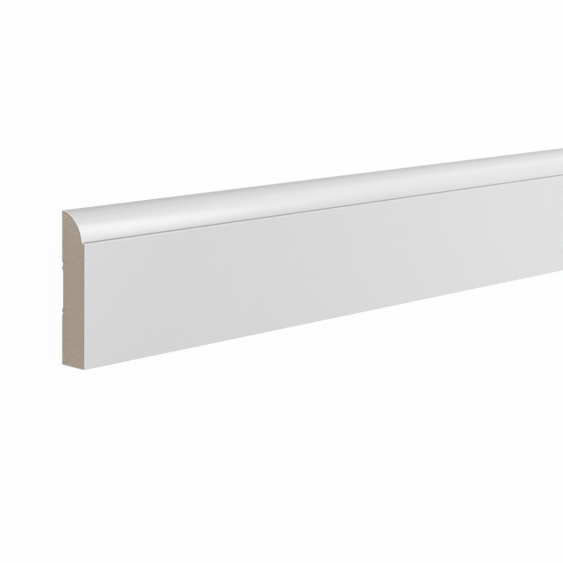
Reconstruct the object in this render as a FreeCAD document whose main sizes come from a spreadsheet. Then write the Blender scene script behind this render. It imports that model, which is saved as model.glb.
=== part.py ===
import FreeCAD, Part
import os
import Sketcher

# A length of moulded skirting board, lying on its back as it is stored.
#
# The board is one piece of fibreboard that a moulder has cut to shape along its whole length:
# a plain blank, a rounded nose along the top edge of the face with a narrow ledge at its foot,
# and on the back a shallow recess between two ribs, each with a groove beside it, so that the
# board beds flat on an uneven wall. The two long edges of the face are slightly eased.
#
# The frame is the one of the stored board: X runs along its length, Y from its bottom edge
# towards its rounded top edge, and Z from its back up to its face. The origin is the middle
# of the back.

# Sizes in millimetres. Heights are measured up the board from its bottom edge.
SIZES = [
    ("board_length", 2400.0, "length that the stock is sold in"),
    ("board_height", 70.0, "from the bottom edge to the top of the nose"),
    ("board_thickness", 15.0, "from the back to the face"),
    ("nose_radius", 14.8, "radius of the rounded top edge"),
    ("nose_height", 13.3, "from the ledge to the top of the nose"),
    ("ledge_width", 1.9, "from the face back to the foot of the nose"),
    ("arris_radius", 0.4, "easing of the face's two long edges"),
    ("recess_bottom", 25.8, "height at which the floor of the back's recess starts"),
    ("recess_width", 16.6, "width of the recess's floor"),
    ("recess_depth", 0.65, "depth of the recess"),
    ("upper_slope", 1.7, "width of the slope from the recess up to the upper rib"),
    ("upper_rib", 0.4, "width of the upper rib's crest"),
    ("upper_groove_width", 2.7, "width of the groove above the upper rib"),
    ("upper_groove_depth", 0.65, "depth of that groove"),
    ("lower_slope", 0.1, "width of the shoulder from the recess down to the lower rib"),
    ("lower_rib", 1.4, "width of the lower rib's crest"),
    ("lower_groove_width", 1.5, "width of the groove below the lower rib"),
    ("lower_groove_depth", 0.75, "depth of that groove"),
]

# How far an edge may lie from the place it is looked for at.
TOLERANCE = 0.001

# The point numbers of a line or an arc in a sketch, and the sketch's own axis and origin.
START, END = 1, 2
ORIGIN = (-1, 1)
BACK_LINE = -1

Vector = FreeCAD.Vector
document = FreeCAD.newDocument("skirting_board_length")


# The sheet of sizes

sheet = document.addObject("Spreadsheet::Sheet", "Sizes")
for row, (alias, size, meaning) in enumerate(SIZES, start=1):
    sheet.set(f"A{row}", meaning)
    sheet.set(f"B{row}", str(size))
    sheet.setAlias(f"B{row}", alias)
document.recompute()


# Helpers for the board's cross-section

def section_sketch(body, name):
    """A sketch across the board: its x runs up from the bottom edge, its y from back to face."""
    sketch = body.newObject("Sketcher::SketchObject", name)
    across = next(plane for plane in body.Origin.OriginFeatures if plane.Role == "YZ_Plane")
    sketch.AttachmentSupport = [(across, "")]
    sketch.MapMode = "FlatFace"
    sketch.setExpression("AttachmentOffset.Base.x", "-Sizes.board_height / 2")
    return sketch


def draw_loop(sketch, corners):
    """Straight lines from corner to corner and back to the first, joined at their ends."""
    lines = []
    for corner, following in zip(corners, corners[1:] + corners[:1]):
        lines.append(sketch.addGeometry(Part.LineSegment(Vector(*corner), Vector(*following))))
    for line, following in zip(lines, lines[1:] + lines[:1]):
        join(sketch, line, following)
    return lines


def join(sketch, line, following):
    """The end of one line or arc is the start of the next."""
    sketch.addConstraint(Sketcher.Constraint("Coincident", line, END, following, START))


def rule(sketch, kind, *elements):
    """A constraint with no size, such as Horizontal."""
    sketch.addConstraint(Sketcher.Constraint(kind, *elements))


def measure(sketch, kind, elements, name, expression):
    """A dimension that follows the sheet of sizes."""
    number = sketch.addConstraint(Sketcher.Constraint(kind, *elements, value_of(expression)))
    sketch.renameConstraint(number, name)
    sketch.setExpression(f"Constraints.{name}", expression)


def value_of(expression):
    """What an expression on the sheet of sizes comes to, in millimetres."""
    return float(sheet.evalExpression(expression.replace("Sizes.", "")))


def run_through(feature, sketch):
    """Makes a feature follow its sketch along the whole board, to both sides of its middle."""
    feature.Profile = sketch
    feature.SideType = "Symmetric"
    feature.setExpression("Length", "Sizes.board_length")


def cut_along(body, sketch, name):
    """One cutter's pass along the whole board."""
    document.recompute()
    before = body.Shape.Volume
    cut = body.newObject("PartDesign::Pocket", name)
    run_through(cut, sketch)
    document.recompute()
    if not cut.Shape.Volume < before:
        raise RuntimeError(f"{name} takes nothing away")


def long_edge(shape, height, depth):
    """The name of the straight edge along the board that passes this place of its section."""
    place = Vector(0.0, height, depth)
    for number, edge in enumerate(shape.Edges, start=1):
        if (edge.CenterOfMass - place).Length < TOLERANCE:
            return f"Edge{number}"
    raise RuntimeError(f"no edge along the board at {height}, {depth}")


# The blank

def add_blank(body):
    """The rectangular strip that the board is moulded from."""
    sketch = section_sketch(body, "blank_section")
    height = value_of("Sizes.board_height")
    thickness = value_of("Sizes.board_thickness")
    back, top, face, bottom = draw_loop(
        sketch, [(0.0, 0.0), (height, 0.0), (height, thickness), (0.0, thickness)]
    )
    rule(sketch, "Horizontal", back)
    rule(sketch, "Horizontal", face)
    rule(sketch, "Vertical", top)
    rule(sketch, "Vertical", bottom)
    rule(sketch, "Coincident", back, START, *ORIGIN)
    measure(sketch, "DistanceX", (back, START, back, END), "height", "Sizes.board_height")
    measure(sketch, "DistanceY", (top, START, top, END), "thickness", "Sizes.board_thickness")
    blank = body.newObject("PartDesign::Pad", "blank")
    run_through(blank, sketch)


# The rounded top edge

def cut_nose(body):
    """Rounds the top edge down to a narrow ledge, which runs out to the face.

    The waste is bounded by the nose's arc and the ledge, and by two lines that lie as far
    outside the blank as the nose and the ledge lie inside it.
    """
    sketch = section_sketch(body, "nose_waste")
    top = value_of("Sizes.board_height")
    ledge = value_of("Sizes.board_height - Sizes.nose_height")
    beyond_top = value_of("Sizes.board_height + Sizes.nose_height")
    foot = value_of("Sizes.board_thickness - Sizes.ledge_width")
    beyond_face = value_of("Sizes.board_thickness + Sizes.ledge_width")
    radius = value_of("Sizes.nose_radius")

    nose = sketch.addGeometry(arc_between(Vector(top, 0.0), Vector(ledge, foot), radius))
    corners = [(ledge, foot), (ledge, beyond_face), (beyond_top, beyond_face), (beyond_top, 0.0)]
    corners.append((top, 0.0))
    sides = []
    for corner, following in zip(corners, corners[1:]):
        sides.append(sketch.addGeometry(Part.LineSegment(Vector(*corner), Vector(*following))))
    on_ledge, over_face, over_top, on_back = sides
    loop = [nose] + sides
    for line, following in zip(loop, loop[1:] + loop[:1]):
        join(sketch, line, following)

    rule(sketch, "Vertical", on_ledge)
    rule(sketch, "Horizontal", over_face)
    rule(sketch, "Vertical", over_top)
    rule(sketch, "PointOnObject", nose, START, BACK_LINE)
    rule(sketch, "PointOnObject", on_back, START, BACK_LINE)
    measure(sketch, "DistanceX", (*ORIGIN, nose, START), "top", "Sizes.board_height")
    measure(sketch, "DistanceX", (nose, END, nose, START), "nose_height", "Sizes.nose_height")
    measure(
        sketch,
        "DistanceY",
        (*ORIGIN, nose, END),
        "foot",
        "Sizes.board_thickness - Sizes.ledge_width",
    )
    measure(sketch, "DistanceY", (on_ledge, START, on_ledge, END), "over", "2 * Sizes.ledge_width")
    measure(sketch, "DistanceX", (nose, START, over_top, START), "above", "Sizes.nose_height")
    measure(sketch, "Radius", (nose,), "radius", "Sizes.nose_radius")
    cut_along(body, sketch, "rounded_top_edge")


def arc_between(first, last, radius):
    """The short arc from first to last, turning anticlockwise about its centre."""
    chord = last - first
    middle = (first + last) / 2
    reach = (radius**2 - (chord.Length / 2) ** 2) ** 0.5
    inwards = Vector(-chord.y, chord.x).normalize()
    centre = middle + inwards * reach
    circle = Part.Circle(centre, Vector(0.0, 0.0, 1.0), radius)
    return Part.ArcOfCircle(circle, circle.parameter(first), circle.parameter(last))


# The relief of the back

def cut_recess(body):
    """The shallow recess along the middle of the back, with a slope at each side."""
    sketch = section_sketch(body, "recess_waste")
    low = value_of("Sizes.recess_bottom")
    high = low + value_of("Sizes.recess_width")
    depth = value_of("Sizes.recess_depth")
    corners = [
        (low - value_of("Sizes.lower_slope"), 0.0),
        (high + value_of("Sizes.upper_slope"), 0.0),
        (high, depth),
        (low, depth),
    ]
    mouth, upper_side, floor, lower_side = draw_loop(sketch, corners)
    rule(sketch, "PointOnObject", mouth, START, BACK_LINE)
    rule(sketch, "PointOnObject", mouth, END, BACK_LINE)
    rule(sketch, "Horizontal", floor)
    measure(sketch, "DistanceX", (*ORIGIN, floor, END), "bottom", "Sizes.recess_bottom")
    measure(sketch, "DistanceX", (floor, END, floor, START), "width", "Sizes.recess_width")
    measure(sketch, "DistanceY", (*ORIGIN, floor, END), "depth", "Sizes.recess_depth")
    measure(
        sketch, "DistanceX", (upper_side, END, upper_side, START), "upper", "Sizes.upper_slope"
    )
    measure(
        sketch, "DistanceX", (lower_side, END, lower_side, START), "lower", "Sizes.lower_slope"
    )
    cut_along(body, sketch, "back_recess")


def cut_groove(body, side, start):
    """A groove with sloping sides in the back, whose lower lip is at the height start."""
    sketch = section_sketch(body, f"{side}_groove_waste")
    width = f"Sizes.{side}_groove_width"
    depth = f"Sizes.{side}_groove_depth"
    lip = value_of(start)
    middle = lip + value_of(width) / 2
    mouth, upper_flank, lower_flank = draw_loop(
        sketch, [(lip, 0.0), (lip + value_of(width), 0.0), (middle, value_of(depth))]
    )
    rule(sketch, "PointOnObject", mouth, START, BACK_LINE)
    rule(sketch, "PointOnObject", mouth, END, BACK_LINE)
    rule(sketch, "Equal", upper_flank, lower_flank)
    measure(sketch, "DistanceX", (*ORIGIN, mouth, START), "lip", start)
    measure(sketch, "DistanceX", (mouth, START, mouth, END), "width", width)
    measure(sketch, "DistanceY", (*ORIGIN, upper_flank, END), "depth", depth)
    cut_along(body, sketch, f"{side}_groove")


# The eased edges of the face

def ease_face(body):
    """Rounds the face's bottom edge and the edge at which the ledge meets the face."""
    document.recompute()
    carved = body.Tip
    half_height = value_of("Sizes.board_height") / 2
    thickness = value_of("Sizes.board_thickness")
    ledge = half_height - value_of("Sizes.nose_height")
    edges = [
        long_edge(carved.Shape, -half_height, thickness),
        long_edge(carved.Shape, ledge, thickness),
    ]
    eased = body.newObject("PartDesign::Fillet", "eased_edges")
    eased.Base = (carved, edges)
    eased.setExpression("Radius", "Sizes.arris_radius")
    document.recompute()
    if not eased.Shape.Volume < carved.Shape.Volume:
        raise RuntimeError("the face's edges are not eased")


# The board

def make_board():
    """The whole moulded board, one solid."""
    body = document.addObject("PartDesign::Body", "skirting_board")
    body.Label = "skirting_board"
    body.Placement = FreeCAD.Placement()
    add_blank(body)
    cut_nose(body)
    cut_recess(body)
    above_upper_rib = "Sizes.recess_bottom + Sizes.recess_width + Sizes.upper_slope + Sizes.upper_rib"
    below_lower_rib = "Sizes.recess_bottom - Sizes.lower_slope - Sizes.lower_rib"
    cut_groove(body, "upper", above_upper_rib)
    cut_groove(body, "lower", f"{below_lower_rib} - Sizes.lower_groove_width")
    ease_face(body)
    return body


def check_document():
    """Stops where any object of the document has failed."""
    document.recompute()
    for item in document.Objects:
        if "Invalid" in item.State or "Error" in item.State:
            raise RuntimeError(f"{item.Name} has failed: {item.State}")


def check_shape(body):
    """Stops where the finished shape isn't one sound solid."""
    shape = body.Shape
    if shape.isNull() or not shape.isValid() or len(shape.Solids) != 1:
        raise RuntimeError(f"{body.Label} isn't one sound solid")


board = make_board()
check_document()
check_shape(board)
os.makedirs("parts", exist_ok=True)
board.Shape.exportStep(f"parts/{board.Label}.step")
box = board.Shape.BoundBox
print(f"{board.Label}: {box.XLength:.2f} x {box.YLength:.2f} x {box.ZLength:.2f} mm")
print(f"volume {board.Shape.Volume / 1e9:.8f} cubic metres")
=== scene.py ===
# %% [markdown]
# # A length of skirting board
#
# A skirting board is the trim that hides the joint between a wall and a floor. This one is a
# single strip of fibreboard that a moulder has cut to one section along its whole length, and
# that is then sprayed white on the side that shows. It is stored lying on its back.
#
# The lesson goes the way the real board is made: first its section, then the long cut, then the
# finishes of the coat and of the bare fibreboard, and last the floor, the light and the camera.

import math

import bpy
from mathutils import Matrix, Vector


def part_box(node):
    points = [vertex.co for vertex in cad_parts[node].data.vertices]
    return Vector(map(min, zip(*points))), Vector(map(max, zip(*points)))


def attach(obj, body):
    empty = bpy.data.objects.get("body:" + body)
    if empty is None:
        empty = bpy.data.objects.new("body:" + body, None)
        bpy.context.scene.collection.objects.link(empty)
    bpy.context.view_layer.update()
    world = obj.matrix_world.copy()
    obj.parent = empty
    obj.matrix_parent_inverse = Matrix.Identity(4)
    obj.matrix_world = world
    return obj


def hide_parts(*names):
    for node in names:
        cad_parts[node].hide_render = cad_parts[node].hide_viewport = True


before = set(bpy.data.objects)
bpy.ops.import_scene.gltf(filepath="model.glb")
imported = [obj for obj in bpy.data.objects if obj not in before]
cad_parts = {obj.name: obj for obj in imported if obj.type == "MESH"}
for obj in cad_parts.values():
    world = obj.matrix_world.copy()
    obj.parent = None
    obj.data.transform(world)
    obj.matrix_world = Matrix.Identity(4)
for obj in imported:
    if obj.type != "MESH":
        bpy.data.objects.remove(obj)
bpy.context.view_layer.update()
LOW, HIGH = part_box("skirting_board")
LENGTH, HEIGHT, THICKNESS = HIGH - LOW
print(f"board {LENGTH:.3f} m long, {HEIGHT:.4f} m high, {THICKNESS:.4f} m thick")

# %% [markdown]
# ## The sizes of the section
#
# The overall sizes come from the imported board. What the cutters take away is given here in
# metres, as a joiner would read it off the end of the board: heights run up from the bottom
# edge, and depths run forward from the back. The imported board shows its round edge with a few
# flat facets only, so the finished board is made again here from the same sizes.

# %% Sizes that the cutters leave
MM = 0.001
NOSE_RADIUS = 14.8 * MM
NOSE_HEIGHT = 13.3 * MM
LEDGE_WIDTH = 1.9 * MM
ARRIS_RADIUS = 0.4 * MM
RECESS_BOTTOM = 25.8 * MM
RECESS_WIDTH = 16.6 * MM
RECESS_DEPTH = 0.65 * MM
UPPER_SLOPE = 1.7 * MM
UPPER_RIB = 0.4 * MM
UPPER_GROOVE = (2.7 * MM, 0.65 * MM)
LOWER_SLOPE = 0.1 * MM
LOWER_RIB = 1.4 * MM
LOWER_GROOVE = (1.5 * MM, 0.75 * MM)
LEDGE_HEIGHT = HEIGHT - NOSE_HEIGHT
FOOT_DEPTH = THICKNESS - LEDGE_WIDTH
print(f"ledge at {LEDGE_HEIGHT / MM:.1f} mm, nose {NOSE_HEIGHT / MM:.1f} mm above it")

# %% [markdown]
# ## The outline of the section
#
# The section has three arcs, which are the large nose and the eased edges of the face, and
# otherwise straight lines. Each arc is worked out from its centre and radius, so a finer or
# coarser curve is one number. The nose's centre isn't given on a drawing: it follows from the
# two ends of the nose and its radius.

# %% Arcs and the centre of the nose
NOSE_STEPS = 56
ARRIS_STEPS = 6


def arc(centre, radius, first, last, steps):
    """Points (height, depth) on an arc between two angles, both ends with it."""
    turn = (last - first) / steps
    angles = [first + turn * step for step in range(steps + 1)]
    return [
        Vector((centre.x + radius * math.cos(angle), centre.y + radius * math.sin(angle)))
        for angle in angles
    ]


def centre_of_arc(first, last, radius):
    """The centre of the arc that turns anticlockwise from first to last."""
    chord = last - first
    inwards = Vector((-chord.y, chord.x)).normalized()
    return (first + last) / 2 + inwards * math.sqrt(radius**2 - (chord.length / 2) ** 2)


def angle_at(centre, point):
    """The direction from the centre to a point, as an angle."""
    return math.atan2(point.y - centre.y, point.x - centre.x)


NOSE_TOP = Vector((HEIGHT, 0.0))
NOSE_FOOT = Vector((LEDGE_HEIGHT, FOOT_DEPTH))
NOSE_CENTRE = centre_of_arc(NOSE_TOP, NOSE_FOOT, NOSE_RADIUS)
print(f"nose centre {NOSE_CENTRE.x / MM:.2f} mm up and {NOSE_CENTRE.y / MM:.2f} mm deep")

# %% [markdown]
# ## Going round the section
#
# The outline starts at the top of the nose, runs down over the nose and the ledge, down the face
# and round its lower edge, and then climbs the back through its two grooves and its recess. Only
# the first part gets the white coat, so the outline is kept as two runs. Going round this way
# keeps the board on the left hand, and that is what makes the finished faces point outwards.

# %% The coated run and the bare run
def coated_run():
    """The outline from the top of the nose over the ledge and down the face."""
    high_centre = Vector((LEDGE_HEIGHT - ARRIS_RADIUS, THICKNESS - ARRIS_RADIUS))
    low_centre = Vector((ARRIS_RADIUS, THICKNESS - ARRIS_RADIUS))
    nose = arc(
        NOSE_CENTRE,
        NOSE_RADIUS,
        angle_at(NOSE_CENTRE, NOSE_TOP),
        angle_at(NOSE_CENTRE, NOSE_FOOT),
        NOSE_STEPS,
    )
    high_arris = arc(high_centre, ARRIS_RADIUS, 0.0, math.pi / 2, ARRIS_STEPS)
    low_arris = arc(low_centre, ARRIS_RADIUS, math.pi / 2, math.pi, ARRIS_STEPS)
    return nose + high_arris + low_arris


def bare_run():
    """The outline up the back: bottom corner, groove, rib, recess, rib and groove."""
    recess_top = RECESS_BOTTOM + RECESS_WIDTH
    lower_rib = RECESS_BOTTOM - LOWER_SLOPE
    lower_lip = lower_rib - LOWER_RIB
    upper_rib = recess_top + UPPER_SLOPE
    upper_lip = upper_rib + UPPER_RIB
    lower_width, lower_depth = LOWER_GROOVE
    upper_width, upper_depth = UPPER_GROOVE
    corners = [
        (0.0, 0.0),
        (lower_lip - lower_width, 0.0),
        (lower_lip - lower_width / 2, lower_depth),
        (lower_lip, 0.0),
        (lower_rib, 0.0),
        (RECESS_BOTTOM, RECESS_DEPTH),
        (recess_top, RECESS_DEPTH),
        (upper_rib, 0.0),
        (upper_lip, 0.0),
        (upper_lip + upper_width / 2, upper_depth),
        (upper_lip + upper_width, 0.0),
    ]
    return [Vector(corner) for corner in corners]


coated = coated_run()
bare = bare_run()
print(f"{len(coated)} points under the coat, {len(bare)} on bare fibreboard")

# %% [markdown]
# ## Node trees written as arithmetic
#
# Materials and Geometry Nodes are both graphs of nodes. Wiring them by hand hides the sums that
# they stand for, so one small class wraps an output: adding, subtracting or multiplying it with
# numbers or other outputs adds the Math node that does so. Every other node comes from one
# method, which takes its kind, its settings and what goes into its sockets.

# %% A graph and its wires
class Wire:
    """An output of a node, usable in Python arithmetic."""

    def __init__(self, graph, socket):
        self.graph = graph
        self.socket = socket

    def __add__(self, other):
        return self.graph.maths("ADD", self, other)

    def __radd__(self, other):
        return self.graph.maths("ADD", other, self)

    def __sub__(self, other):
        return self.graph.maths("SUBTRACT", self, other)

    def __rsub__(self, other):
        return self.graph.maths("SUBTRACT", other, self)

    def __mul__(self, other):
        return self.graph.maths("MULTIPLY", self, other)

    def __rmul__(self, other):
        return self.graph.maths("MULTIPLY", other, self)

    def __gt__(self, other):
        return self.graph.maths("GREATER_THAN", self, other)

    def __abs__(self):
        return self.graph.maths("ABSOLUTE", self)


class Graph:
    """A node tree under construction."""

    def __init__(self, tree):
        self.tree = tree
        tree.nodes.clear()

    def node(self, kind, settings=None, inputs=None, output=None):
        """Adds a node and returns one of its outputs, named by its identifier."""
        node = self.tree.nodes.new(kind)
        for name, value in (settings or {}).items():
            setattr(node, name, value)
        for identifier, value in (inputs or {}).items():
            self.feed(self.socket(node.inputs, identifier), value)
        if not node.outputs:
            return None
        return Wire(self, self.socket(node.outputs, output) if output else node.outputs[0])

    def socket(self, sockets, identifier):
        """The socket of a node that has this identifier."""
        return next(item for item in sockets if item.identifier == identifier)

    def feed(self, socket, value):
        """Links a wire to a socket, or sets the socket to a plain value."""
        if isinstance(value, Wire):
            self.tree.links.new(value.socket, socket)
        else:
            socket.default_value = value

    def maths(self, operation, first, second=None):
        """One Math node."""
        inputs = {"Value": first}
        if second is not None:
            inputs["Value_001"] = second
        return self.node("ShaderNodeMath", {"operation": operation}, inputs)

    def mix_colours(self, share, first, second):
        """One colour fading into another."""
        return self.node(
            "ShaderNodeMix",
            {"data_type": "RGBA", "clamp_factor": False},
            {"Factor_Float": share, "A_Color": first, "B_Color": second},
            "Result_Color",
        )


print("graphs ready")

# %% [markdown]
# ## Places on the section
#
# A finish often follows the shape, and so does the light and shade that is painted into the
# finishes here, such as the painted shade in the inner corner. So the materials need to know
# where on the section a point lies. These helpers read the place on the board in metres and turn
# it into a height up from the bottom edge and a depth from the back.
# Others make a soft mask that fades from 1 to 0 between two distances, and the random patches
# that keep a surface from looking drawn.

# %% Materials and their helpers
def new_material(name):
    """An empty material and the graph that fills it."""
    material = bpy.data.materials.new(name)
    material.use_nodes = True
    return material, Graph(material.node_tree)


def place_on_board(graph):
    """The place of a point on the board, in metres."""
    return graph.node("ShaderNodeTexCoord", output="Object")


def section_place(graph, place):
    """Length from the board's middle, height from its bottom edge, depth from its back."""
    along = graph.node("ShaderNodeSeparateXYZ", None, {"Vector": place}, "X")
    split = along.socket.node.outputs
    height = Wire(graph, graph.socket(split, "Y")) - LOW.y
    depth = Wire(graph, graph.socket(split, "Z")) - LOW.z
    return along, height, depth


def fade(graph, value, full, none):
    """A soft mask: 1 where the value is at full, 0 where it is at none."""
    return graph.node(
        "ShaderNodeMapRange",
        {"interpolation_type": "SMOOTHSTEP"},
        {"Value": value, "From Min": full, "From Max": none, "To Min": 1.0, "To Max": 0.0},
        "Result",
    )


def noise(graph, place, per_metre, detail):
    """Soft random patches, about so many to the metre, from 0 to 1."""
    inputs = {"Vector": place, "Scale": per_metre, "Detail": detail}
    return graph.node("ShaderNodeTexNoise", None, inputs, "Fac")


def swing(value, amount):
    """A value that runs from 0 to 1, as a swing of this width about zero."""
    return (value - 0.5) * amount


def stretched(graph, place, share):
    """The same place with its length pressed together, so patterns run along the board."""
    return graph.node(
        "ShaderNodeVectorMath",
        {"operation": "MULTIPLY"},
        {"Vector": place, "Vector_001": (share, 1.0, 1.0)},
        "Vector",
    )


def finish_material(graph, colour, roughness, height, bump_height, sheen):
    """The last nodes of a finish: bump, shader and output."""
    normal = graph.node(
        "ShaderNodeBump", None, {"Strength": 1.0, "Distance": bump_height, "Height": height}
    )
    shader = graph.node(
        "ShaderNodeBsdfPrincipled",
        None,
        {
            "Base Color": colour,
            "Roughness": roughness,
            "Normal": normal,
            "Specular IOR Level": sheen,
        },
    )
    graph.node("ShaderNodeOutputMaterial", None, {"Surface": shader})


print("material helpers ready")

# %% [markdown]
# ## The white coat
#
# The face and the nose are sprayed with a white primer that dries to a soft satin. It is close
# to one even white, with a fine grain of tiny bumps, a gloss that changes slightly from place to
# place, and random patches where the coat is a little greyer. Light and shade are painted into
# it as well. A dull grey line of painted shade lies in the inner corner on the ledge, and
# painted shade makes the coat a little darker towards the back of the nose and round the lower
# edge of the face. Last, a narrow pale rim of painted highlight runs along the coated edge at
# the two sawn ends.

# %% White primer
WHITE = (0.80, 0.80, 0.796, 1.0)
# Painted highlight: a paler white for the rim along the coated edge at the sawn ends.
PAINTED_RIM_HIGHLIGHT = (0.90, 0.90, 0.89, 1.0)
# A greyer white, for random patches of the coat and for the painted shade at the back of the
# nose and on the lower edge.
WHITE_THIN_AND_SHADED = (0.520, 0.520, 0.514, 1.0)
# Painted shade: the grey of the line in the inner corner on the ledge.
CORNER_SHADE_GREY = (0.41, 0.41, 0.405, 1.0)
COAT_ROUGHNESS = 0.215
COAT_BUMP = 0.008 * MM
COAT_SHEEN = 0.5
CLOUDS_PER_METRE = 14.0
PEEL_PER_METRE = 520.0
GRAIN_PER_METRE = 1900.0
GRAIN_THIN = 0.29
CLOUDS_THIN = 0.06
GRAIN_DULL = 0.03
CORNER_DULL = 0.3
GRAIN_IN_BUMP = 0.3
CORNER_FADE = (0.12 * MM, 0.62 * MM)
LEDGE_SHARE = 0.45
# Painted shade that darkens the top of the nose towards the back.
BACK_SHADE_FADE = (0.0, 6.6 * MM)
# Painted shade round the lower edge of the face: where it fades out, and how strong it is.
LOW_EDGE_FADE = (0.05 * MM, 0.5 * MM)
LOW_EDGE_SHADE = 0.5
# Painted highlight within this distance of the sawn ends.
RIM_HIGHLIGHT_FADE = (0.5 * MM, 0.8 * MM)


def inner_corner(graph, height, depth):
    """A mask of painted shade in the inner corner on the ledge, which reaches further out along
    the ledge.
    """
    rise = height - LEDGE_HEIGHT
    run = (depth - FOOT_DEPTH) * LEDGE_SHARE
    return fade(graph, graph.maths("SQRT", rise * rise + run * run), *CORNER_FADE)


def make_white_coat():
    """A satin white, with painted shade in the corner, at the back of the nose and on the lower
    edge, and a painted highlight at the sawn ends.
    """
    material, graph = new_material("white_primer")
    place = place_on_board(graph)
    along, height, depth = section_place(graph, place)
    clouds = noise(graph, place, CLOUDS_PER_METRE, detail=2.0)
    grain = noise(graph, place, GRAIN_PER_METRE, detail=0.0)
    peel = noise(graph, place, PEEL_PER_METRE, detail=1.0)

    # Painted shade in the inner corner on the ledge. The same mask also makes the corner duller.
    corner = inner_corner(graph, height, depth)
    # Painted shade towards the back of the nose.
    back_shade = fade(graph, depth, *BACK_SHADE_FADE) * (height > LEDGE_HEIGHT)
    # Painted shade round the lower edge of the face.
    low_edge_shade = fade(graph, height, *LOW_EDGE_FADE) * LOW_EDGE_SHADE
    # Painted highlight: a paler rim at the two sawn ends.
    rim_highlight = fade(graph, LENGTH / 2 - abs(along), *RIM_HIGHLIGHT_FADE)
    # Random greyer patches of the coat, plus the painted shade at the back of the nose and on
    # the lower edge.
    thinning_and_shade = back_shade + low_edge_shade + swing(grain, GRAIN_THIN) + swing(clouds, CLOUDS_THIN)
    colour = graph.mix_colours(thinning_and_shade, WHITE, WHITE_THIN_AND_SHADED)
    colour = graph.mix_colours(corner, colour, CORNER_SHADE_GREY)
    colour = graph.mix_colours(rim_highlight, colour, PAINTED_RIM_HIGHLIGHT)
    roughness = COAT_ROUGHNESS + swing(grain, GRAIN_DULL) + corner * CORNER_DULL
    bumps = peel + grain * GRAIN_IN_BUMP
    finish_material(graph, colour, roughness, bumps, COAT_BUMP, COAT_SHEEN)
    return material


white_coat = make_white_coat()
print(f"white coat of {len(white_coat.node_tree.nodes)} nodes")

# %% [markdown]
# ## Bare fibreboard
#
# The board is wood fibre and resin pressed under heat. Where a saw has crossed it the fibres
# stand on end and the surface is a dull brown with a fine speckle. The end is painted slightly
# lighter towards the back than towards the face, a painted light that makes up for the shade the
# floor casts on it there. Close under the coat the fibre is denser and has drunk some primer, so
# it is darker still there. That line follows the section, so the material works out how far a
# point is from the coated outline: from the face and the ledge for the lower part, and from the
# nose's arc for the upper part.

# %% Distance from the coated outline
def depth_under_coat(graph, height, depth):
    """How far inside the coated outline a point of the section lies, in metres."""
    from_face = THICKNESS - depth
    from_ledge = graph.maths("MAXIMUM", LEDGE_HEIGHT - height, FOOT_DEPTH - depth)
    below = graph.maths("MINIMUM", from_face, from_ledge)
    rise = height - NOSE_CENTRE.x
    run = depth - NOSE_CENTRE.y
    from_nose = NOSE_RADIUS - graph.maths("SQRT", rise * rise + run * run)
    is_above = height > LEDGE_HEIGHT
    return below * (1.0 - is_above) + from_nose * is_above


print("distance under the coat ready")

# %% Sawn fibreboard
SAWN = (0.653, 0.555, 0.462, 1.0)
SAWN_DARK = (0.424, 0.357, 0.292, 1.0)
SAWN_MEAN = 0.40
SAWN_ROUGHNESS = 0.85
SAWN_BUMP = 0.06 * MM
SAWN_SHEEN = 0.2
CUT_FIBRES_PER_METRE = 1900.0
CUT_FLECKS_PER_METRE = 700.0
CUT_FIBRES_DARK = 2.4
CUT_FLECKS_DARK = 0.5
CUT_FIBRES_DULL = 0.1
CUT_FLECKS_IN_BUMP = 0.5
SKIN_FADE = (0.25 * MM, 0.95 * MM)
SKIN_DARK = 0.7
# Painted light: the end is made lighter towards the back, where the floor casts shade on it, and
# darker towards the face.
PAINTED_LIGHT_TOWARDS_BACK = 0.28


def make_sawn_fibreboard():
    """A dull speckled brown, painted lighter towards the back against the floor's shade, and
    darkest just under the coat.
    """
    material, graph = new_material("sawn_fibreboard")
    place = place_on_board(graph)
    _, height, depth = section_place(graph, place)
    fibres = noise(graph, place, CUT_FIBRES_PER_METRE, detail=1.0)
    flecks = noise(graph, place, CUT_FLECKS_PER_METRE, detail=1.0)
    skin = fade(graph, depth_under_coat(graph, height, depth), *SKIN_FADE)
    # Painted light towards the back, against the floor's shade there.
    painted_back_light = swing(depth * (1.0 / THICKNESS), PAINTED_LIGHT_TOWARDS_BACK)
    speckle = swing(fibres, CUT_FIBRES_DARK) + swing(flecks, CUT_FLECKS_DARK)
    dark = speckle + SAWN_MEAN + skin * SKIN_DARK + painted_back_light
    colour = graph.mix_colours(dark, SAWN, SAWN_DARK)
    roughness = SAWN_ROUGHNESS + swing(fibres, CUT_FIBRES_DULL)
    bumps = fibres + flecks * CUT_FLECKS_IN_BUMP
    finish_material(graph, colour, roughness, bumps, SAWN_BUMP, SAWN_SHEEN)
    return material


sawn_fibreboard = make_sawn_fibreboard()
print(f"sawn end of {len(sawn_fibreboard.node_tree.nodes)} nodes")

# %% [markdown]
# The back and the bottom edge were planed and left bare. Planing lays the fibres down along the
# board, so the same random patches are used again here, but each is drawn out lengthwise.

# %% Planed fibreboard
PLANED = (0.50, 0.415, 0.335, 1.0)
PLANED_DARK = (0.38, 0.31, 0.245, 1.0)
PLANED_MEAN = 0.35
PLANED_ROUGHNESS = 0.72
PLANED_BUMP = 0.05 * MM
PLANED_SHEEN = 0.3
LAID_FIBRES = {"share": 0.35, "per_metre": 1400.0, "detail": 3.0}
LAID_FLECKS = {"share": 0.2, "per_metre": 380.0, "detail": 2.0}
LAID_PATCHES = {"share": 0.3, "per_metre": 30.0, "detail": 2.0}
LAID_FIBRES_DARK = 1.0
LAID_FLECKS_DARK = 0.7
LAID_PATCHES_DARK = 0.6
LAID_PATCHES_DULL = 0.1
LAID_FLECKS_IN_BUMP = 0.6


def laid(graph, place, share, per_metre, detail):
    """Random patches that are drawn out along the board."""
    return noise(graph, stretched(graph, place, share), per_metre, detail)


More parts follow.
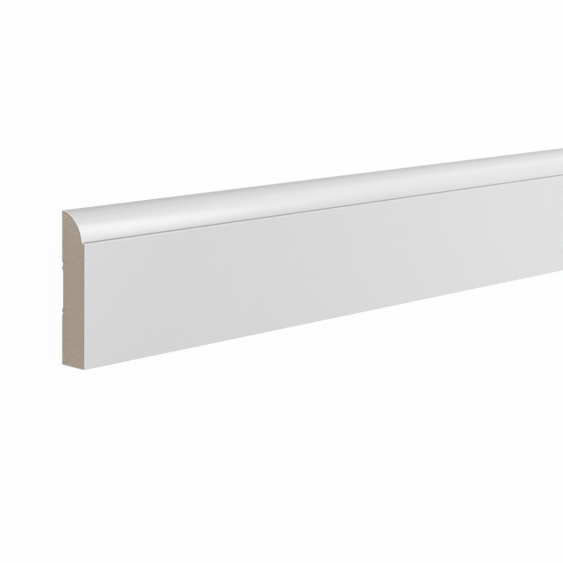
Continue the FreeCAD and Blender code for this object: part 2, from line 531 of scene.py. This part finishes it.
def make_planed_fibreboard():
    """A dull brown with fibres and flecks that lie along the board."""
    material, graph = new_material("planed_fibreboard")
    place = place_on_board(graph)
    fibres = laid(graph, place, **LAID_FIBRES)
    flecks = laid(graph, place, **LAID_FLECKS)
    patches = laid(graph, place, **LAID_PATCHES)
    speckle = swing(fibres, LAID_FIBRES_DARK) + swing(flecks, LAID_FLECKS_DARK)
    dark = speckle + swing(patches, LAID_PATCHES_DARK) + PLANED_MEAN
    colour = graph.mix_colours(dark, PLANED, PLANED_DARK)
    roughness = PLANED_ROUGHNESS + swing(patches, LAID_PATCHES_DULL)
    bumps = fibres + flecks * LAID_FLECKS_IN_BUMP
    finish_material(graph, colour, roughness, bumps, PLANED_BUMP, PLANED_SHEEN)
    return material


planed_fibreboard = make_planed_fibreboard()
print(f"planed back of {len(planed_fibreboard.node_tree.nodes)} nodes")

# %% [markdown]
# ## The moulder
#
# A moulder pushes a blank past fixed cutters, so every slice of the board is the same. Geometry
# Nodes do exactly that: the outline becomes a curve, and Curve to Mesh pulls it along a straight
# line. The node turns the outline half round as it does so, and so its points are written with
# both signs changed.
#
# The outline's points carry two numbers along. One says which of them lie under the coat, and
# from it each face gets its finish. The other is the share of the rounding that the cut edge of
# the coat gets at the two sawn ends. On the nose that share is small, because the photograph
# shows a crisp edge there. A bevel does the rounding afterwards, and it reads its share from the
# edges.

# %% The outline as a mesh for the moulder
NOSE_RIM_SHARE = 0.25


def outline_object():
    """The closed outline, flat, with the two numbers that its points carry."""
    points = [(-place.x - LOW.y, -place.y - LOW.z, 0.0) for place in coated + bare]
    edges = [(start, (start + 1) % len(points)) for start in range(len(points))]
    mesh = bpy.data.meshes.new("section_outline")
    mesh.from_pydata(points, edges, [])
    on_nose = NOSE_STEPS + 1
    on_face = len(coated) - on_nose
    numbers = {
        "under_coat": [1.0] * len(coated) + [0.0] * len(bare),
        "rim_share": [NOSE_RIM_SHARE] * on_nose + [1.0] * on_face + [0.0] * len(bare),
    }
    for name, values in numbers.items():
        mesh.attributes.new(name, "FLOAT", "POINT").data.foreach_set("value", values)
    outline = bpy.data.objects.new("moulded_board", mesh)
    bpy.context.scene.collection.objects.link(outline)
    return outline


outline = outline_object()
print(f"outline of {len(outline.data.edges)} edges")

# %% The tree that moulds the board
SHARP_ANGLE = math.radians(25)
ALL_POINTS = 0.99
MOSTLY_ENDWAYS = 0.5
END_REACH = 1.0 * MM


def both(graph, first, second):
    """True where both are."""
    inputs = {"Boolean": first, "Boolean_001": second}
    return graph.node("FunctionNodeBooleanMath", {"operation": "AND"}, inputs)


def opening(tree, name, side, kind):
    """A named input or output of a node tree."""
    return tree.interface.new_socket(name, in_out=side, socket_type="NodeSocket" + kind)


def carried(graph, name):
    """A number that the points of the outline carry."""
    return graph.node("GeometryNodeInputNamedAttribute", {"data_type": "FLOAT"}, {"Name": name})


def endways(graph, vector):
    """How far a vector goes along the board, to either end."""
    return abs(graph.node("ShaderNodeSeparateXYZ", None, {"Vector": vector}, "X"))


def make_moulder():
    """The tree, and the names of its inputs for the length and the sharp angle."""
    tree = bpy.data.node_groups.new("moulder", "GeometryNodeTree")
    opening(tree, "Geometry", "INPUT", "Geometry")
    length = opening(tree, "Length", "INPUT", "Float")
    sharp = opening(tree, "Sharp angle", "INPUT", "Float")
    result = opening(tree, "Geometry", "OUTPUT", "Geometry")
    graph = Graph(tree)
    section = graph.node("NodeGroupInput")
    group_outputs = section.socket.node.outputs
    half = Wire(graph, graph.socket(group_outputs, length.identifier)) * 0.5
    sharp_angle = Wire(graph, graph.socket(group_outputs, sharp.identifier))

    curve = graph.node("GeometryNodeMeshToCurve", None, {"Mesh": section})
    start = graph.node("ShaderNodeCombineXYZ", None, {"X": half * -1.0})
    end = graph.node("ShaderNodeCombineXYZ", None, {"X": half})
    path = graph.node("GeometryNodeCurvePrimitiveLine", None, {"Start": start, "End": end})
    pulled = {"Curve": path, "Profile Curve": curve, "Fill Caps": True}
    board = graph.node("GeometryNodeCurveToMesh", None, pulled)

    is_coated = carried(graph, "under_coat") > ALL_POINTS
    normal = graph.node("GeometryNodeInputNormal", output="True Normal")
    is_end = endways(graph, normal) > MOSTLY_ENDWAYS
    reach = endways(graph, graph.node("GeometryNodeInputPosition"))
    is_rim = both(graph, is_coated, reach > half - END_REACH)
    rounding = carried(graph, "rim_share") * is_rim
    board = graph.node(
        "GeometryNodeStoreNamedAttribute",
        {"data_type": "FLOAT", "domain": "EDGE"},
        {"Geometry": board, "Name": "bevel_weight_edge", "Value": rounding},
    )
    board = graph.node("GeometryNodeSetShadeSmooth", None, {"Geometry": board})
    turn = graph.node("GeometryNodeInputMeshEdgeAngle", output="Unsigned Angle")
    board = graph.node(
        "GeometryNodeSetShadeSmooth",
        {"domain": "EDGE"},
        {"Geometry": board, "Selection": turn > sharp_angle, "Shade Smooth": False},
    )
    board = graph.node("GeometryNodeRealizeInstances", None, {"Geometry": board})
    finishes = ((planed_fibreboard, True), (white_coat, is_coated), (sawn_fibreboard, is_end))
    for material, where in finishes:
        covered = {"Geometry": board, "Selection": where, "Material": material}
        board = graph.node("GeometryNodeSetMaterial", None, covered)
    graph.node("NodeGroupOutput", None, {result.identifier: board})
    return tree, length.identifier, sharp.identifier


moulder, length_input, sharp_input = make_moulder()
print(f"moulder of {len(moulder.nodes)} nodes")

# %% [markdown]
# ## From the outline to the board
#
# The outline gets three modifiers. The moulder pulls it out to its length, a bevel rounds the
# rim where the saw cut through the coat, and weighted normals keep the long flat faces flat
# beside their eased edges, because each point there follows its largest face. The result is
# then turned into one plain mesh, so that nothing is left to work out later.
#
# The numbers that the points carried have done their work and are taken off. The bevel can't
# know that its new faces belong to the coat, so they get it here. They are the only faces that
# look neither straight to the side nor straight out of an end.

# %% Pull the board through the moulder
RIM_ROUND = 0.22 * MM
RIM_STEPS = 4
RIM_TILTS = (0.02, 0.995)


def moulded(outline):
    """A plain mesh of the outline with its modifiers worked out."""
    moulding = outline.modifiers.new("moulder", "NODES")
    moulding.node_group = moulder
    moulding[length_input] = LENGTH
    moulding[sharp_input] = SHARP_ANGLE
    rim = outline.modifiers.new("rim", "BEVEL")
    rim.limit_method = "WEIGHT"
    rim.width = RIM_ROUND
    rim.segments = RIM_STEPS
    rim.use_clamp_overlap = True
    weighted = outline.modifiers.new("weighted", "WEIGHTED_NORMAL")
    weighted.keep_sharp = True
    depsgraph = bpy.context.evaluated_depsgraph_get()
    mesh = bpy.data.meshes.new_from_object(outline.evaluated_get(depsgraph))
    outline.modifiers.clear()
    for name in ("under_coat", "rim_share", "bevel_weight_edge"):
        mesh.attributes.remove(mesh.attributes[name])
    coat_index = list(mesh.materials).index(white_coat)
    least, most = RIM_TILTS
    for polygon in mesh.polygons:
        if least < abs(polygon.normal.x) < most:
            polygon.material_index = coat_index
    return mesh


board = outline
board.data = moulded(outline)
board.data.name = "moulded_board"
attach(board, "root")
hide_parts("skirting_board")
counts = {}
for polygon in board.data.polygons:
    name = board.data.materials[polygon.material_index].name
    counts[name] = counts.get(name, 0) + 1
print(f"{len(board.data.polygons)} faces: {counts}")

# %% [markdown]
# ## Floor and surroundings
#
# The board lies on a pale studio floor. The camera sees the floor and the air around it as
# white, and so does everything that mirrors them. A small share of the floor stays an ordinary
# matt surface, and that share keeps the board's shadow.

# %% White floor and white air
FLOOR_REACH = 60.0
FLOOR_PALE = (0.66, 0.66, 0.66, 1.0)
FLOOR_PAPER = (0.95, 0.95, 0.95, 1.0)
SHADOW_SHARE = 0.03
AIR_LIGHT = 0.206
PURE_WHITE = (1.0, 1.0, 1.0, 1.0)


def seen_directly(graph):
    """1 for rays that show the surroundings themselves, 0 for rays that carry their light."""
    camera = graph.node("ShaderNodeLightPath", output="Is Camera Ray")
    outputs = camera.socket.node.outputs
    glossy = Wire(graph, graph.socket(outputs, "Is Glossy Ray"))
    through = Wire(graph, graph.socket(outputs, "Is Transmission Ray"))
    return graph.maths("MAXIMUM", camera, graph.maths("MAXIMUM", glossy, through))


def mix_shaders(graph, share, first, second):
    """One shader fading into another."""
    return graph.node(
        "ShaderNodeMixShader", None, {"Fac": share, "Shader": first, "Shader_001": second}
    )


def make_floor():
    """A wide flat sheet that the board lies on."""
    mesh = bpy.data.meshes.new("studio_floor")
    corners = [(-1, -1), (1, -1), (1, 1), (-1, 1)]
    points = [(FLOOR_REACH * x, FLOOR_REACH * y, LOW.z) for x, y in corners]
    mesh.from_pydata(points, [], [(0, 1, 2, 3)])
    material, graph = new_material("studio_floor")
    matt = graph.node("ShaderNodeBsdfDiffuse", None, {"Color": FLOOR_PALE})
    white = graph.node("ShaderNodeEmission", None, {"Color": PURE_WHITE, "Strength": 1.0})
    paper = graph.node("ShaderNodeBsdfDiffuse", None, {"Color": FLOOR_PAPER})
    shown = mix_shaders(graph, 1.0 - SHADOW_SHARE, paper, white)
    surface = mix_shaders(graph, seen_directly(graph), matt, shown)
    graph.node("ShaderNodeOutputMaterial", None, {"Surface": surface})
    mesh.materials.append(material)
    floor = bpy.data.objects.new("studio_floor", mesh)
    bpy.context.scene.collection.objects.link(floor)


def make_air():
    """White all round to the eye, with a light of its own that is much weaker."""
    world = bpy.data.worlds.new("studio_air")
    world.use_nodes = True
    graph = Graph(world.node_tree)
    light = graph.node(
        "ShaderNodeBackground", None, {"Color": PURE_WHITE, "Strength": AIR_LIGHT}
    )
    white = graph.node("ShaderNodeBackground", None, {"Color": PURE_WHITE, "Strength": 1.0})
    surface = mix_shaders(graph, seen_directly(graph), light, white)
    graph.node("ShaderNodeOutputWorld", None, {"Surface": surface})
    bpy.context.scene.world = world


make_floor()
make_air()
print(f"air light {AIR_LIGHT}, shadow share {SHADOW_SHARE}")

# %% [markdown]
# ## The lamps
#
# The photograph shows a broad even light on the face, and on the nose a bright band that is
# strongest near the sawn end and fades along the board. The even light comes from suns with a
# wide soft disc, which light the whole length alike. One stands beyond the near end and lights
# the sawn end and the face's lower edge, two light the nose from the far side, and two stand
# beyond the far end and brighten the face towards it, because a satin coat shines most where the
# eye meets it at a flat angle. For the same reason the low suns on the far side have very wide
# discs: a small bright disc would blow out the face for an eye that looks low towards it. The
# band is the mirror image of a tall strip light, so that lamp stands at a real distance, and its
# image slides off the nose further along.

# %% Soft lamps
LAMPS = {
    "near_end": ((-0.880, -0.419, 0.223), 25.6, 1.271),
    "beyond_nose": ((0.479, 0.808, 0.342), 54.6, 0.630),
    "above_nose": ((0.489, 0.510, 0.708), 37.4, 0.824),
    "beyond_far_end": ((0.897, 0.232, 0.376), 60.6, 0.441),
    "above_far_end": ((0.779, -0.121, 0.615), 61.6, 0.205),
}
STRIP_PLACE = (-0.615, 0.196, 0.613)
STRIP_AIM = (-1.189, 0.030, 0.012)
STRIP_WIDTH = 0.156
STRIP_HEIGHT = 1.32
STRIP_TURN = -9.5
STRIP_WATTS = 1.62


def place_lamp(name, data, towards, place=(0.0, 0.0, 0.0), turn=0.0):
    """Puts a lamp where what it lights sees it in the given direction, turned on itself."""
    back = Vector(towards).normalized()
    side = (Vector((1.0, 0.0, 0.0)) - back * back.x).normalized()
    axes = Matrix((side, back.cross(side), back)).transposed()
    roll = Matrix.Rotation(turn, 4, "Z")
    lamp = bpy.data.objects.new(name, data)
    lamp.matrix_world = Matrix.Translation(place) @ axes.to_4x4() @ roll
    bpy.context.scene.collection.objects.link(lamp)


def make_sun(name, towards, disc, strength):
    """A far lamp with a disc of so many degrees."""
    data = bpy.data.lights.new(name, "SUN")
    data.angle = math.radians(disc)
    data.energy = strength
    place_lamp(name, data, towards)


def make_strip():
    """A tall narrow lamp that faces the sawn end."""
    data = bpy.data.lights.new("strip", "AREA")
    data.shape = "RECTANGLE"
    data.size = STRIP_WIDTH
    data.size_y = STRIP_HEIGHT
    data.energy = STRIP_WATTS
    towards = Vector(STRIP_PLACE) - Vector(STRIP_AIM)
    place_lamp("strip", data, towards, STRIP_PLACE, math.radians(STRIP_TURN))


for name, (towards, disc, strength) in LAMPS.items():
    make_sun(name, towards, disc, strength)
make_strip()
print(f"{len(LAMPS)} suns and a strip of {STRIP_WATTS} W")

# %% [markdown]
# ## The camera
#
# The photograph was taken from close to the near end, looking along the board. Its lens, place
# and direction are worked out in the frame of a board that stands on its bottom edge, measured
# from the bottom corner of the near end. Here the board lies on its back, so one matrix turns
# that frame over before the camera is put in place.

# %% Camera
IMAGE_SIDE = 563
FOCAL_PIXELS = 1855.91
SENSOR_MM = 36.0
CAMERA_PLACE = (-0.534856, -0.603934, 0.193961)
CAMERA_YAW = 0.832398
CAMERA_PITCH = 0.187154
CAMERA_ROLL = 0.022281
NEAREST = 0.01
FARTHEST = 4 * FLOOR_REACH


def make_camera():
    """The photograph's camera, carried over to the board that lies on its back."""
    data = bpy.data.cameras.new("camera")
    data.sensor_width = SENSOR_MM
    data.lens = FOCAL_PIXELS * SENSOR_MM / IMAGE_SIDE
    data.clip_start = NEAREST
    data.clip_end = FARTHEST
    camera = bpy.data.objects.new("camera", data)
    corner = Matrix.Translation((LOW.x, LOW.y, HIGH.z)) @ Matrix.Rotation(-math.pi / 2, 4, "X")
    heading = Matrix.Rotation(-CAMERA_YAW, 4, "Z")
    tilt = Matrix.Rotation(math.pi / 2 - CAMERA_PITCH, 4, "X")
    level = Matrix.Rotation(CAMERA_ROLL, 4, "Z")
    camera.matrix_world = corner @ Matrix.Translation(CAMERA_PLACE) @ heading @ tilt @ level
    bpy.context.scene.collection.objects.link(camera)
    bpy.context.scene.camera = camera
    return camera


camera = make_camera()
bpy.context.scene.view_settings.view_transform = "Standard"
print(f"lens {camera.data.lens:.2f} mm at {tuple(round(v, 3) for v in camera.location)}")
